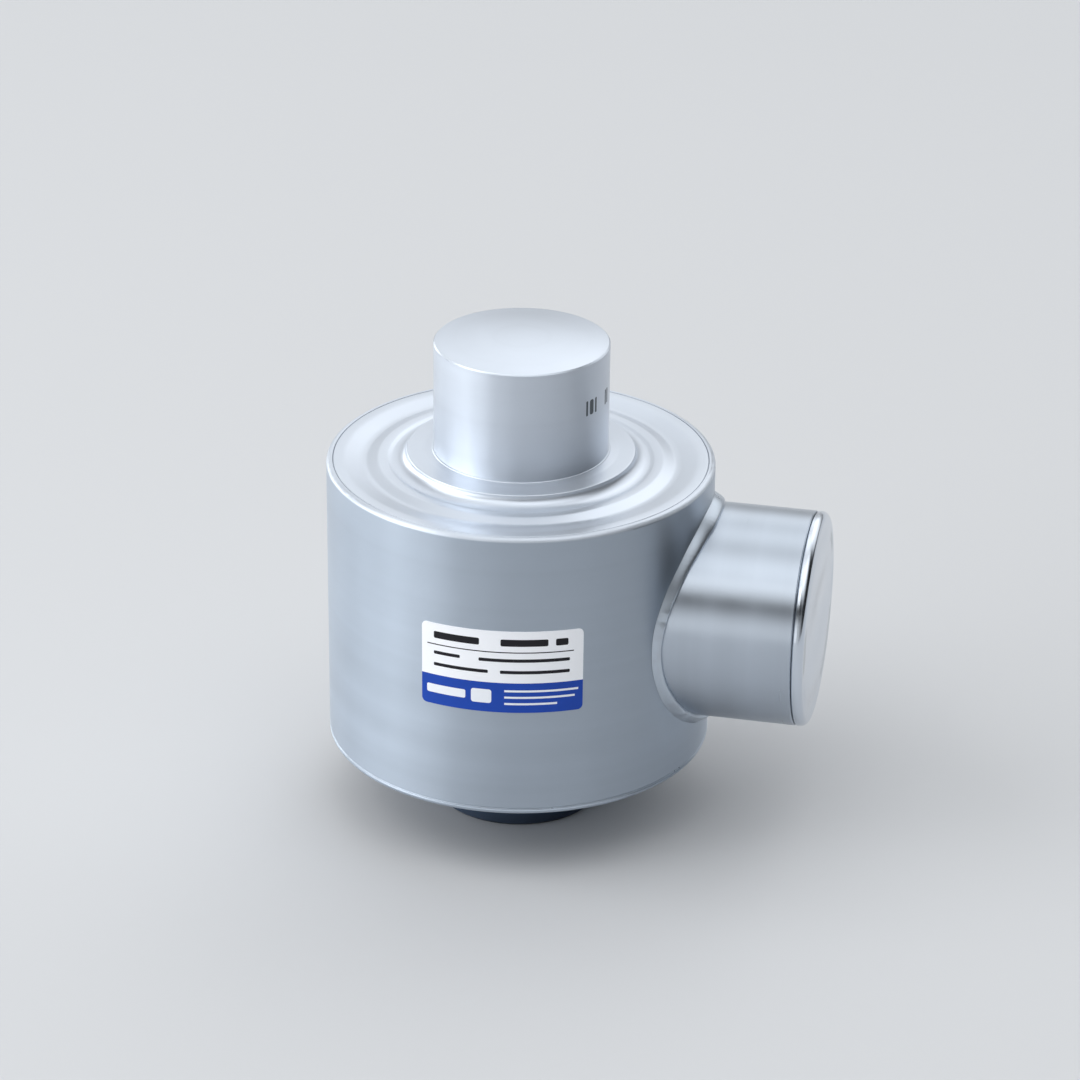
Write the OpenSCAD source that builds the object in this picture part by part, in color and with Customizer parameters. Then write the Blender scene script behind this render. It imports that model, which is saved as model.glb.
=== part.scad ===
// Compression load cell: a steel column in a sealed stainless can, with a side housing for its wiring.
// The origin is the centre of the foot's lower face. +Z is the load axis and +X the side housing's axis.

/* [Casing] */
// Outside diameter of the casing tube
casing_d = 89; // [87:0.5:96]
// Height of the casing from its lower edge to its rim
casing_h = 68.8; // [66:0.2:80]
// Wall of the casing tube
casing_wall = 3; // [2.5:0.1:4]
// Width of the narrow rim that stands round the top cover
rim_w = 1.4; // [1.2:0.1:2]
// Rounding on the rim's outer edge
rim_round = 1; // [0.4:0.1:1.1]
// Width of the seams that show between welded pieces
seam_w = 0.2; // [0.1:0.05:0.4]
// Bevel on the edges beside a seam
seam_bevel = 0.25; // [0.1:0.05:0.4]

/* [Column] */
// Diameter of the load button on top of the column
button_d = 40; // [39:0.5:44]
// Height of the button's edge above the casing's rim
button_h = 28.5; // [20:0.5:36]
// Radius of the button's domed top
dome_r = 150; // [100:5:250]
// Chamfer on the button's edge
button_edge = 0.3; // [0.1:0.1:1]
// How far the column steps in below the button, on the radius
journal_step = 1; // [0.6:0.1:2.5]
// Diameter of the slender measuring section
gauge_d = 24; // [22:0.5:25]
// Distance between opposite flats of the measuring section
gauge_flats = 20; // [17:0.5:21]
// Length of the measuring section without its fillets
gauge_len = 30; // [26:0.5:32]
// Radius of the fillets at both ends of the measuring section
gauge_fillet = 5; // [3:0.5:5]

/* [Foot] */
// Diameter of the foot
foot_d = 40; // [39:0.5:48]
// Height of the casing's lower edge above the foot's lower face
foot_h = 17; // [14:0.5:26]
// Chamfer on both edges of the foot
foot_edge = 0.8; // [0.3:0.1:1.5]
// Diameter of the column's spigot in the foot
spigot_d = 22; // [16:0.5:26]
// Length of the column's spigot
spigot_len = 9; // [6:0.5:10]
// How far the column's shoulder stands out of the base plate
shoulder_proud = 0.5; // [0.2:0.1:1]

/* [Top cover] */
// Width of the bright lip that shows round the button's base
lip_w = 0.4; // [0.2:0.1:0.8]
// Height of the lip above the casing's rim
lip_h = 2.6; // [2.3:0.1:3.5]
// Width of the slope outside the lip
hub_slope_w = 2.1; // [1.5:0.1:3]
// Width of the hub's flat step
hub_step_w = 3.7; // [3:0.1:5]
// Height of the hub's flat step above the casing's rim
hub_step_h = 2.1; // [1.8:0.1:2.2]
// Width of the hollow from the step down to the valley
hollow_w = 3.3; // [2.6:0.1:4]
// Depth of the valley below the casing's rim
valley_depth = 0.35; // [0.2:0.05:0.5]
// Width of the rise from the valley to the flat ring
valley_rise_w = 1.6; // [1:0.1:2]
// Distance of the shallow outer groove's middle from the cover's edge
groove_inset = 3.4; // [2.4:0.1:5]
// Width of the shallow outer groove
groove_w = 3.6; // [2:0.1:4]
// Depth of the shallow outer groove
groove_depth = 0.25; // [0.1:0.05:0.4]
// Thickness of the cover's thin web
web_t = 1; // [0.8:0.1:1.3]
// Thickness of the cover's rim, which is the depth of its seat in the casing
cover_rim_t = 3; // [2.5:0.1:4]
// Width of the cover's rim
cover_rim_w = 3; // [2.5:0.1:3.5]
// Wall of the hub round the column
hub_wall = 3; // [2:0.1:4]
// How far the hub reaches below the web
hub_drop = 4; // [2:0.5:6]

/* [Base plate] */
// Whole thickness of the base plate
base_t = 6; // [5:0.5:8]
// Height of the base plate's edge that shows below the casing tube
base_edge_h = 1.2; // [0.9:0.1:2]
// Rounding on the base plate's lower edge
base_round = 0.8; // [0.4:0.1:0.8]

/* [Side housing] */
// Outside diameter of the side housing
housing_d = 49.5; // [48:0.5:51]
// Wall of the side housing at its cavity
housing_wall = 3; // [2.5:0.1:3.5]
// Height of the side housing's axis above the middle of the casing
housing_rise = 0.8; // [-1:0.1:2.5]
// Distance from the casing's round side to the ledge of the terminal board
ledge_reach = 5.3; // [4:0.1:9]
// Width of the ledge that the terminal board rests on
ledge_w = 2; // [1.5:0.1:2.5]
// Height of the end cap's rim
cap_rim_h = 2.4; // [2:0.1:3]
// Rounding on the end cap's edge
cap_round = 1.6; // [0.8:0.1:1.7]
// Length of the end cap's spigot in the tube
cap_spigot_len = 3; // [2:0.1:3.2]
// Wall of the end cap's spigot
cap_spigot_wall = 1.6; // [1:0.1:2]

/* [Housing weld] */
// Radius of the fillet that the weld fills between casing and side housing
bead_r = 2.4; // [1.5:0.1:3]
// How far the weld bulges between its two edges
bead_crown = 0.3; // [0.1:0.05:0.5]

/* [Cable gland] */
// Diameter of the gland's threaded hole
gland_hole_d = 12; // [11:0.5:13]
// Room beside that hole, to the terminal board on one side and to the end cap on the other
gland_room = 0.5; // [0.3:0.1:2]
// Width of the round pad beside that hole
pad_wall = 3; // [2.6:0.1:3.3]
// Height of the pad above the side housing's round side
pad_h = 1.5; // [1:0.1:2]
// Length of the gland's thread in that hole
gland_thread_len = 4; // [3:0.5:5]
// Width across flats of the gland's hexagons
gland_hex = 15; // [14.5:0.5:16]
// Thickness of the gland's sealing washer
gland_washer_t = 1; // [0.6:0.1:1.5]
// Diameter of the gland's sealing washer
gland_washer_d = 15; // [14:0.5:16]
// Height of the gland body's hexagon
gland_hex_h = 3.5; // [3:0.5:5]
// Length of the threaded neck under the nut
gland_neck_len = 5.2; // [4.6:0.2:7]
// Diameter of the threaded neck
gland_neck_d = 11; // [10.6:0.2:12]
// Free length of the neck between the hexagon and the nut
gland_nut_gap = 0.4; // [0.2:0.1:1]
// Thickness of the nut's end wall
gland_end_t = 1.6; // [1.2:0.1:3]
// Diameter of the cable that the gland takes
cable_d = 6; // [5:0.5:6.5]
// Clearance round the cable in the gland's metal pieces, on the radius
cable_room = 0.5; // [0.3:0.1:0.7]
// Clearance round the cable in the rubber grommet, on the radius
grommet_room = 0.1; // [0.05:0.05:0.2]
// Length of the rubber grommet
grommet_len = 7; // [5.5:0.5:8]
// Wall of the rubber grommet
grommet_wall = 1.4; // [1.2:0.1:1.5]

/* [Measuring bridge] */
// Width of a strain gauge
foil_w = 9; // [7:0.5:10]
// Height of a strain gauge
foil_h = 13; // [11:0.5:14]
// Thickness of a strain gauge's backing
foil_t = 0.2; // [0.1:0.05:0.4]
// Thickness of the measuring grids on the backing
grid_t = 0.1; // [0.05:0.05:0.2]
// Length of the bars in a measuring grid
grid_len = 4.4; // [3:0.2:5]
// Width of a bar
grid_bar_w = 0.5; // [0.3:0.1:0.7]
// Distance between the middles of neighbouring bars
grid_pitch = 1; // [0.9:0.05:1.1]
// Number of bars in each measuring grid
grid_bars = 5; // [3:1:6]
// Width of a solder terminal strip
strip_w = 7; // [6:0.5:9]
// Height of a solder terminal strip
strip_h = 3; // [2.4:0.2:4]
// Thickness of a solder terminal strip
strip_t = 0.6; // [0.4:0.1:1]
// Diameter of the solder dots on a strip
solder_d = 1.8; // [1:0.1:2.2]
// Thickness of the solder dots
solder_t = 0.2; // [0.1:0.05:0.3]
// Space between a strain gauge and its solder terminal strip
strip_space = 1; // [0.5:0.1:2]
// Inside diameter of the ring-shaped bridge board
board_in_d = 46; // [44:0.5:48]
// Room between the bridge board and the casing's bore
board_room = 3.5; // [2:0.1:4.5]
// Thickness of both circuit boards
board_t = 1.6; // [1:0.1:2]
// Height of the spacers under the bridge board
spacer_h = 4; // [3:0.5:5]
// Outside diameter of a spacer
spacer_d = 5; // [4.6:0.1:6]
// Distance of the spacers from the bridge board's outer edge
spacer_inset = 1; // [0.5:0.1:2]
// Diameter of the board screws
screw_d = 3; // [2:0.1:3]
// Diameter of a board screw's head
screw_head_d = 5.5; // [4.5:0.1:5.8]
// Height of a board screw's head
screw_head_h = 1.8; // [1.2:0.1:2.4]
// How deep a board screw goes into the base plate
screw_depth = 3.5; // [2.5:0.1:4]
// Number of spacers and screws
fixings = 3; // [3:1:4]
// Length of a trimming resistor
resistor_len = 6.4; // [4:0.2:7]
// Width of a trimming resistor
resistor_w = 3.2; // [2:0.1:3.4]
// Height of a trimming resistor
resistor_h = 1.2; // [0.8:0.1:2]
// Space between the circle of gauge leads and the resistors
resistor_space = 2; // [1:0.1:2.5]
// Number of trimming resistors
resistors = 4; // [3:1:6]

/* [Leads] */
// Diameter of a lead wire
lead_d = 0.6; // [0.4:0.05:0.7]
// Distance between the two leads of one gauge
lead_pitch = 3; // [2:0.5:4]
// Inside radius of the bend in a lead
lead_bend = 1.5; // [1:0.1:2]
// Distance of the gauge leads from the bridge board's inner edge
gauge_lead_inset = 3; // [2:0.1:4]
// Distance of the bridge leads from the bridge board's outer edge
bridge_lead_inset = 5; // [4:0.1:6]

/* [Feedthrough] */
// Diameter of the feedthrough's shell in the casing wall
shell_d = 12; // [11:0.5:13]
// Diameter of the shell's flange
shell_flange_d = 15; // [14:0.5:16]
// Thickness of the shell's flange
shell_flange_t = 1.2; // [1:0.1:1.5]
// Depth of the flat for that flange in the casing
shell_flat_depth = 1; // [0.8:0.1:1.2]
// Clearance round the flange on its flat, on the radius
flange_room = 0.5; // [0.3:0.1:0.8]
// Diameter of the glass bead in the shell
glass_d = 9; // [8.5:0.1:9.8]
// How far the shell and its glass stand out inside the casing
shell_inner_len = 1; // [0.5:0.1:1.5]
// Number of pins
pins = 6; // [4:1:6]
// Diameter of a pin
pin_d = 0.8; // [0.6:0.05:0.9]
// Diameter of the circle that the pins stand on
pin_circle_d = 6.4; // [6.2:0.1:7]
// How far the pins reach into the casing past the glass
pin_inner_len = 2; // [1:0.5:3]
// Diameter of a cable terminal on the terminal board
post_d = 3; // [2:0.1:4]
// Height of a cable terminal
post_h = 4; // [2:0.5:6]
// Diameter of the circle that the cable terminals stand on
post_circle_d = 26; // [22:0.5:28]

/* [Label] */
// Width of the label, measured along the curve
label_w = 37; // [30:0.5:42]
// Height of the label
label_h = 20.2; // [16:0.2:24]
// Radius of the label's corners
label_corner = 1.2; // [0.5:0.1:2]
// Thickness of the label
label_t = 0.15; // [0.1:0.01:0.3]
// Direction of the label's middle, as an angle from +X
label_angle = -82.9; // [-95:0.1:-78]
// Height of the label's middle above the middle of the casing
label_rise = 1.8; // [-4:0.1:7]

/* [Fits] */
// Clearance between a plug and the hole that it sits in, on the radius
fit = 0.05; // [0.02:0.01:0.1]
// Gap that keeps the weld's flat facets off the round faces under them
weld_gap = 0.03; // [0.02:0.01:0.06]

/* [Hidden] */
$fn = 96;
// Facets of a circle with a large radius
fine_fn = 720;
// How far a shape that cuts reaches past the face that it cuts
over = 1;

// Steel, plastic and board colours
steel = "#c3ccd6";
dark_steel = "#1d2a3b";
amber = "#c98f3c";
board_green = "#2f6b4a";
tinned = "#d9dde0";
rubber = "#26282b";

casing_r = casing_d / 2;
casing_bore_r = casing_r - casing_wall;
floor_z = foot_h;
rim_z = floor_z + casing_h;
tube_low_z = floor_z + base_edge_h + seam_w;

button_r = button_d / 2;
button_z = rim_z + button_h;
dome_z = button_z - sqrt(pow(dome_r, 2) - pow(button_r - button_edge, 2));
journal_r = button_r - journal_step;
lip_z = rim_z + lip_h;
gauge_r = gauge_d / 2;
middle_z = floor_z + casing_h / 2;
gauge_low_z = middle_z - gauge_len / 2;
gauge_high_z = middle_z + gauge_len / 2;
flat_x = gauge_flats / 2;
flat_count = 4;
shoulder_z = floor_z - shoulder_proud;
spigot_r = spigot_d / 2;

cover_seat_r = casing_r - rim_w;
cover_r = cover_seat_r - seam_w;
cover_seat_z = rim_z - cover_rim_t;
lip_r = button_r + lip_w;
slope_r = lip_r + hub_slope_w;
step_r = slope_r + hub_step_w;
step_z = rim_z + hub_step_h;
valley_r = step_r + hollow_w;
valley_z = rim_z - valley_depth;
web_low_z = valley_z - web_t;

base_top_z = floor_z + base_t;

housing_r = housing_d / 2;
housing_z = middle_z + housing_rise;
cavity_r = housing_r - housing_wall;
ledge_x = casing_r + ledge_reach;
board_face_x = ledge_x + board_t;
gland_hole_r = gland_hole_d / 2;
gland_x = board_face_x + gland_room + gland_hole_r;
cap_spigot_x = gland_x + gland_hole_r + gland_room;
tube_end_x = cap_spigot_x + cap_spigot_len;
cap_low_x = tube_end_x + seam_w;
housing_end_x = cap_low_x + cap_rim_h;
weld_steps = 96;
crown_steps = 4;

pad_y = housing_r + pad_h;
gland_hex_y = pad_y + gland_washer_t;
gland_neck_y = gland_hex_y + gland_hex_h;
gland_neck_end_y = gland_neck_y + gland_neck_len;
gland_end_y = gland_neck_end_y + gland_end_t;
gland_neck_r = gland_neck_d / 2;
gland_hex_r = gland_hex / sqrt(3);
cable_way_r = cable_d / 2 + cable_room;
grommet_bore_r = cable_d / 2 + grommet_room;
grommet_r = grommet_bore_r + grommet_wall;
grommet_y = gland_neck_end_y - grommet_len;

strip_z = middle_z - foil_h / 2 - strip_space - strip_h / 2;
strip_face_x = flat_x + strip_t + solder_t;
board_low_z = base_top_z + spacer_h;
board_top_z = board_low_z + board_t;
board_in_r = board_in_d / 2;
board_out_r = casing_bore_r - board_room;
lead_r = lead_d / 2;
bend_r = lead_bend + lead_r;
gauge_lead_r = board_in_r + gauge_lead_inset;
resistor_r = gauge_lead_r + lead_r + resistor_space + resistor_w / 2;
resistor_angle = 45;
screw_r = screw_d / 2;
fixing_r = board_out_r - spacer_d / 2 - spacer_inset;
fixing_angle = 60;

glass_r = glass_d / 2;
shell_flat_x = casing_r - shell_flat_depth;
shell_in_x = casing_bore_r - shell_inner_len;
shell_out_x = shell_flat_x + shell_flange_t;
pin_in_x = shell_in_x - pin_inner_len;
bridge_lead_x = board_out_r - bridge_lead_inset;
pin_angle = 15;

// Turns what is modelled along Z so that it lies along the side housing's axis
module along_housing() {
    translate([0, 0, housing_z]) rotate([0, 90, 0]) children();
}

// Turns what is modelled along Z so that it lies along the cable gland's axis
module along_gland() {
    translate([gland_x, 0, housing_z]) rotate([-90, 0, 0]) children();
}

// Places a copy on each of a number of equal steps round the Z axis
module around(count, start, radius) {
    for (i = [0 : count - 1])
        rotate([0, 0, start + i * 360 / count]) translate([radius, 0, 0]) children();
}

// A rectangle of a half section, between two radii and two heights
module band(inner, outer, low, high) {
    translate([inner, low]) square([outer - inner, high - low]);
}

// A ring on the Z axis, between two radii and two heights
module ring(inner, outer, low, high) {
    rotate_extrude() band(inner, outer, low, high);
}

// What is cut off the corner of a half section to round it, up = 1 on an upper corner and -1 on a lower one
module corner_cut(radius, z, round_r, up) {
    round_z = z - up * round_r;
    over_z = z + up * over;
    difference() {
        band(radius - round_r, radius + over, min(round_z, over_z), max(round_z, over_z));
        translate([radius - round_r, round_z]) circle(round_r);
    }
}

// The fillet where the measuring section meets a thicker end, side = 1 above that end and -1 below it
module neck_fillet(z, side) {
    far_z = z + side * gauge_fillet;
    difference() {
        band(gauge_r, gauge_r + gauge_fillet, min(z, far_z), max(z, far_z));
        translate([gauge_r + gauge_fillet, far_z]) circle(gauge_fillet);
    }
}

// Half section of the load button, with its domed top and chamfered edge
module button_section() {
    intersection() {
        polygon([
            [0, lip_z], [button_r, lip_z], [button_r, button_z - button_edge],
            [button_r - button_edge - over, button_z + over], [0, dome_z + dome_r + over]
        ]);
        translate([0, dome_z]) circle(dome_r, $fn = fine_fn);
    }
}

// The turned column: load button, two journals, slender measuring section with four flats, lower spigot
module column() {
    end_low_z = gauge_low_z - gauge_fillet;
    end_high_z = gauge_high_z + gauge_fillet;
    color(steel)
        difference() {
            rotate_extrude() {
                button_section();
                band(0, journal_r, end_high_z, lip_z);
                neck_fillet(end_high_z, -1);
                band(0, gauge_r, end_low_z, end_high_z);
                neck_fillet(end_low_z, 1);
                band(0, journal_r, shoulder_z, end_low_z);
                band(0, spigot_r, shoulder_z - spigot_len, shoulder_z);
            }
            around(flat_count, 0, flat_x)
                translate([0, -gauge_r, gauge_low_z]) cube([gauge_r, gauge_d, gauge_len]);
        }
}

// The dark foot under the column, with a bore for the column's spigot
module foot() {
    radius = foot_d / 2;
    color(dark_steel)
        rotate_extrude()
            difference() {
                polygon([
                    [0, 0], [radius - foot_edge, 0], [radius, foot_edge],
                    [radius, shoulder_z - foot_edge], [radius - foot_edge, shoulder_z], [0, shoulder_z]
                ]);
                band(0, spigot_r + fit, shoulder_z - spigot_len - fit, shoulder_z + over);
            }
}

// The casing tube: rounded rim, seat for the top cover, and a port with a flat for the feedthrough
module casing() {
    color(steel)
        difference() {
            rotate_extrude()
                difference() {
                    polygon([
                        [casing_bore_r, tube_low_z], [casing_r - seam_bevel, tube_low_z],
                        [casing_r, tube_low_z + seam_bevel], [casing_r, rim_z], [casing_bore_r, rim_z]
                    ]);
                    band(0, cover_seat_r, cover_seat_z, rim_z + over);
                    corner_cut(casing_r, rim_z, rim_round, 1);
                }
            along_housing() {
                cylinder(d = shell_d + 2 * fit, h = casing_d);
                translate([0, 0, shell_flat_x]) cylinder(d = shell_flange_d + 2 * flange_room, h = casing_wall);
            }
        }
}

// Radius of an arc that is level at one end and drops or climbs by height over width
function level_arc_r(width, height) = (pow(width, 2) + pow(height, 2)) / (2 * height);

// The part of the top cover's section that is cut away by the hollow between hub and valley
module hub_hollow_section() {
    drop = step_z - valley_z;
    arc_r = level_arc_r(valley_r - step_r, drop);
    intersection() {
        band(step_r, valley_r, valley_z - over, step_z);
        union() {
            translate([valley_r, valley_z + arc_r]) circle(arc_r);
            band(step_r, valley_r, max(valley_z + arc_r, rim_z), step_z + over);
        }
    }
}

// The part of the top cover's section that is cut away over the rise from valley to flat ring
module valley_rise_section() {
    arc_r = level_arc_r(valley_rise_w, valley_depth);
    difference() {
        band(valley_r, valley_r + valley_rise_w, valley_z, rim_z + over);
        translate([valley_r + valley_rise_w, rim_z - arc_r]) circle(arc_r);
    }
}

// The corrugated top cover: hub with a lip round the button, step, valley, flat ring, groove and rim
module top_cover() {
    bore_r = journal_r + fit;
    hub_r = bore_r + hub_wall;
    hub_low_z = web_low_z - hub_drop;
    undercut_r = step_r - web_t;
    rim_in_r = cover_r - cover_rim_w;
    groove_arc_r = level_arc_r(groove_w / 2, groove_depth);
    color(steel)
        rotate_extrude()
            difference() {
                polygon([
                    [bore_r, hub_low_z], [bore_r, lip_z], [lip_r, lip_z], [slope_r, step_z],
                    [valley_r, step_z], [valley_r, rim_z], [cover_r, rim_z], [cover_r, cover_seat_z],
                    [rim_in_r, cover_seat_z], [rim_in_r, web_low_z], [undercut_r, web_low_z],
                    [undercut_r, step_z - web_t], [hub_r, step_z - web_t], [hub_r, hub_low_z]
                ]);
                hub_hollow_section();
                valley_rise_section();
                translate([cover_r - groove_inset, rim_z - groove_depth + groove_arc_r])
                    circle(groove_arc_r);
            }
}

// The base plate: a plug in the casing tube with an edge that shows below it
module base_plate() {
    bore_r = journal_r + fit;
    plug_r = casing_bore_r - fit;
    edge_z = floor_z + base_edge_h;
    color(steel)
        difference() {
            rotate_extrude()
                difference() {
                    polygon([
                        [bore_r, floor_z], [casing_r, floor_z], [casing_r, edge_z - seam_bevel],
                        [casing_r - seam_bevel, edge_z], [plug_r, edge_z], [plug_r, base_top_z],
                        [bore_r, base_top_z]
                    ]);
                    corner_cut(casing_r, floor_z, base_round, -1);
                }
            around(fixings, fixing_angle, fixing_r)
                translate([0, 0, base_top_z - screw_depth])
                    cylinder(r = screw_r + fit, h = screw_depth + over);
        }
}

// The side housing: a tube cut to the casing's round side, with a board ledge and a pad for the gland
module side_housing() {
    color(steel)
        difference() {
            union() {
                along_housing()
                    rotate_extrude()
                        polygon([
                            [0, 0], [housing_r, 0], [housing_r, tube_end_x - seam_bevel],
                            [housing_r - seam_bevel, tube_end_x], [0, tube_end_x]
                        ]);
                along_gland() cylinder(r = gland_hole_r + pad_wall, h = pad_y);
            }
            along_housing() {
                cylinder(r = cavity_r - ledge_w, h = housing_end_x);
                translate([0, 0, ledge_x]) cylinder(r = cavity_r, h = housing_end_x);
            }
            along_gland() cylinder(r = gland_hole_r, h = pad_y + over);
            translate([0, 0, floor_z]) cylinder(r = casing_r + weld_gap, h = casing_h);
        }
}

// The end cap: a disc with a rounded edge and a spigot in the side housing's tube
module end_cap() {
    spigot_out_r = cavity_r - fit;
    spigot_in_r = spigot_out_r - cap_spigot_wall;
    color(steel)
        along_housing()
            rotate_extrude()
                difference() {
                    polygon([
                        [0, cap_low_x], [spigot_in_r, cap_low_x], [spigot_in_r, cap_spigot_x],
                        [spigot_out_r, cap_spigot_x], [spigot_out_r, cap_low_x],
                        [housing_r - seam_bevel, cap_low_x], [housing_r, cap_low_x + seam_bevel],
                        [housing_r, housing_end_x], [0, housing_end_x]
                    ]);
                    corner_cut(housing_r, housing_end_x, cap_round, 1);
                }
}

// Where a cylinder of a given radius round the side housing's axis meets the casing's round side
function saddle_point(radius, turn) =
    let (y = radius * cos(turn))
    [sqrt(pow(casing_r + weld_gap, 2) - y * y), y, housing_z + radius * sin(turn)];

// Length of the weld's two legs where the faces meet, from the angle between casing and side housing
function weld_leg(turn) = bead_r * tan(acos(housing_r * pow(cos(turn), 2) / casing_r) / 2);

// One section of the weld: its root, then its crowned surface from the casing to the side housing
function weld_section(turn) =
    let (
        radius = housing_r + weld_gap,
        leg = weld_leg(turn),
        root = saddle_point(radius, turn),
        casing_edge = saddle_point(radius + leg, turn),
        housing_edge = root + [leg, 0, 0],
        middle = (casing_edge + housing_edge) / 2,
        out = (middle - root) / norm(middle - root),
        peak = middle + 2 * bead_crown * out
    )
    concat([root], [
        for (i = [0 : crown_steps])
            let (s = i / crown_steps)
            pow(1 - s, 2) * casing_edge + 2 * s * (1 - s) * peak + pow(s, 2) * housing_edge
    ]);

// The weld bead all round the joint of casing and side housing
module housing_weld() {
    count = crown_steps + 2;
    sections = [for (i = [0 : weld_steps - 1]) weld_section(i * 360 / weld_steps)];
    points = [for (section = sections) each section];
    faces = [
        for (i = [0 : weld_steps - 1], j = [0 : count - 1])
            let (
                a = i * count + j,
                b = i * count + (j + 1) % count,
                c = ((i + 1) % weld_steps) * count + (j + 1) % count,
                d = ((i + 1) % weld_steps) * count + j
            )
            each [[a, b, c], [a, c, d]]
    ];
    color(steel) polyhedron(points = points, faces = faces);
}

// A rectangle with rounded corners, centred on the origin
module rounded_rectangle(width, height, corner) {
    square([width - 2 * corner, height], center = true);
    square([width, height - 2 * corner], center = true);
    for (x = [-1, 1], y = [-1, 1])
        translate([x * (width / 2 - corner), y * (height / 2 - corner)]) circle(corner);
}

// The thin label, bent round the casing
module label() {
    half_turn = label_w / casing_r * 90 / PI;
    chord = 2 * casing_r * sin(half_turn);
    label_z = middle_z + label_rise;
    color("#e4eaf6")
        intersection() {
            ring(casing_r, casing_r + label_t, label_z - label_h, label_z + label_h);
            rotate([0, 0, label_angle])
                translate([0, 0, label_z])
                    rotate([90, 0, 90])
                        linear_extrude(casing_d) rounded_rectangle(chord, label_h, label_corner);
        }
}

// A thin box on a flat of the measuring section, with its back centred on a point of the flat
module on_flat(width, height, thickness, y, z) {
    translate([0, y - width / 2, z - height / 2]) cube([thickness, width, height]);
}

// One strain gauge on a flat of the measuring section, with an upright grid and a cross grid above it
module gauge(turn) {
    half_z = foil_h / 4;
    color(amber)
        rotate([0, 0, turn]) translate([flat_x, 0, middle_z]) {
            on_flat(foil_w, foil_h, foil_t, 0, 0);
            for (i = [0 : grid_bars - 1]) {
                step = (i - (grid_bars - 1) / 2) * grid_pitch;
                on_flat(grid_bar_w, grid_len, foil_t + grid_t, step, -half_z);
                on_flat(grid_len, grid_bar_w, foil_t + grid_t, 0, half_z + step);
            }
        }
}

module gauge_right() { gauge(0); }

module gauge_rear() { gauge(90); }

module gauge_left() { gauge(180); }

module gauge_front() { gauge(270); }

// A solder terminal strip under each strain gauge
module gauge_terminals() {
    color(tinned)
        around(flat_count, 0, flat_x)
            translate([0, 0, strip_z]) {
                on_flat(strip_w, strip_h, strip_t, 0, 0);
                for (side = [-1, 1])
                    translate([strip_t, side * lead_pitch / 2, 0])
                        rotate([0, 90, 0]) cylinder(d = solder_d, h = solder_t);
            }
}

// A lead that starts at the origin, runs along +X, bends and drops along -Z
module lead(reach, drop) {
    rotate([0, 90, 0]) cylinder(r = lead_r, h = reach - bend_r);
    translate([reach - bend_r, 0, -bend_r])
        rotate([90, 0, 0]) rotate_extrude(angle = 90) translate([bend_r, 0]) circle(lead_r);
    translate([reach, 0, -drop]) cylinder(r = lead_r, h = drop - bend_r);
}

// The leads from the gauges' solder terminals down to the bridge board
module gauge_leads() {
    color("#b5433a")
        around(flat_count, 0, strip_face_x)
            for (side = [-1, 1])
                translate([0, side * lead_pitch / 2, strip_z])
                    lead(gauge_lead_r - strip_face_x, strip_z - board_top_z);
}

// The ring-shaped board that joins the gauges into a bridge
module bridge_board() {
    color(board_green)
        difference() {
            ring(board_in_r, board_out_r, board_low_z, board_top_z);
            around(fixings, fixing_angle, fixing_r)
                translate([0, 0, board_low_z - over]) cylinder(r = screw_r + fit, h = board_t + 2 * over);
        }
}

// The spacers between base plate and bridge board
module board_spacers() {
    color(tinned)
        around(fixings, fixing_angle, fixing_r)
            ring(screw_r + fit, spacer_d / 2, base_top_z, board_low_z);
}

// The screws that hold the bridge board
module board_screws() {
    color(tinned)
        around(fixings, fixing_angle, fixing_r) {
            translate([0, 0, board_top_z]) cylinder(d = screw_head_d, h = screw_head_h);
            translate([0, 0, base_top_z - screw_depth])
                cylinder(r = screw_r, h = board_top_z - base_top_z + screw_depth);
        }
}

// The trimming resistors on the bridge board
module trim_resistors() {
    color(rubber)
        around(resistors, resistor_angle, resistor_r)
            translate([-resistor_w / 2, -resistor_len / 2, board_top_z])
                cube([resistor_w, resistor_len, resistor_h]);
}

// Places a copy at each pin of the feedthrough, along the side housing's axis
module at_pins() {
    along_housing() around(pins, pin_angle, pin_circle_d / 2) children();
}

// The leads from the bridge board up to the feedthrough's pins
module bridge_leads() {
    color("#3c4f9a")
        for (i = [0 : pins - 1]) {
            turn = pin_angle + i * 360 / pins;
            z = housing_z - pin_circle_d / 2 * cos(turn);
            translate([pin_in_x, pin_circle_d / 2 * sin(turn), z])
                rotate([0, 0, 180]) lead(pin_in_x - bridge_lead_x, z - board_top_z);
        }
}

// The metal shell of the feedthrough, set in the casing's port
module feedthrough_shell() {
    color(tinned)
        along_housing()
            rotate_extrude() {
                band(glass_r + fit, shell_d / 2, shell_in_x, shell_flat_x);
                band(glass_r + fit, shell_flange_d / 2, shell_flat_x, shell_out_x);
            }
}

// The glass bead that seals the pins in the shell
module feedthrough_glass() {
    length = shell_out_x - shell_in_x;
    color("#4f6f73")
        difference() {
            along_housing() translate([0, 0, shell_in_x]) cylinder(r = glass_r, h = length);
            at_pins() translate([0, 0, shell_in_x - over]) cylinder(d = pin_d, h = length + 2 * over);
        }
}

// The pins, from inside the casing to the back of the terminal board
module feedthrough_pins() {
    color(tinned)
        at_pins() translate([0, 0, pin_in_x]) cylinder(d = pin_d, h = ledge_x - pin_in_x);
}

// The round terminal board on the side housing's ledge
module terminal_board() {
    color(board_green)
        along_housing() translate([0, 0, ledge_x]) cylinder(r = cavity_r - fit, h = board_t);
}

// The cable terminals on the terminal board
module cable_terminals() {
    color(tinned)
        along_housing()
            around(pins, pin_angle, post_circle_d / 2)
                translate([0, 0, board_face_x]) cylinder(d = post_d, h = post_h);
}

// The sealing washer between the pad and the gland
module gland_washer() {
    color(rubber)
        along_gland() ring(gland_hole_r, gland_washer_d / 2, pad_y, gland_hex_y);
}

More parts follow.
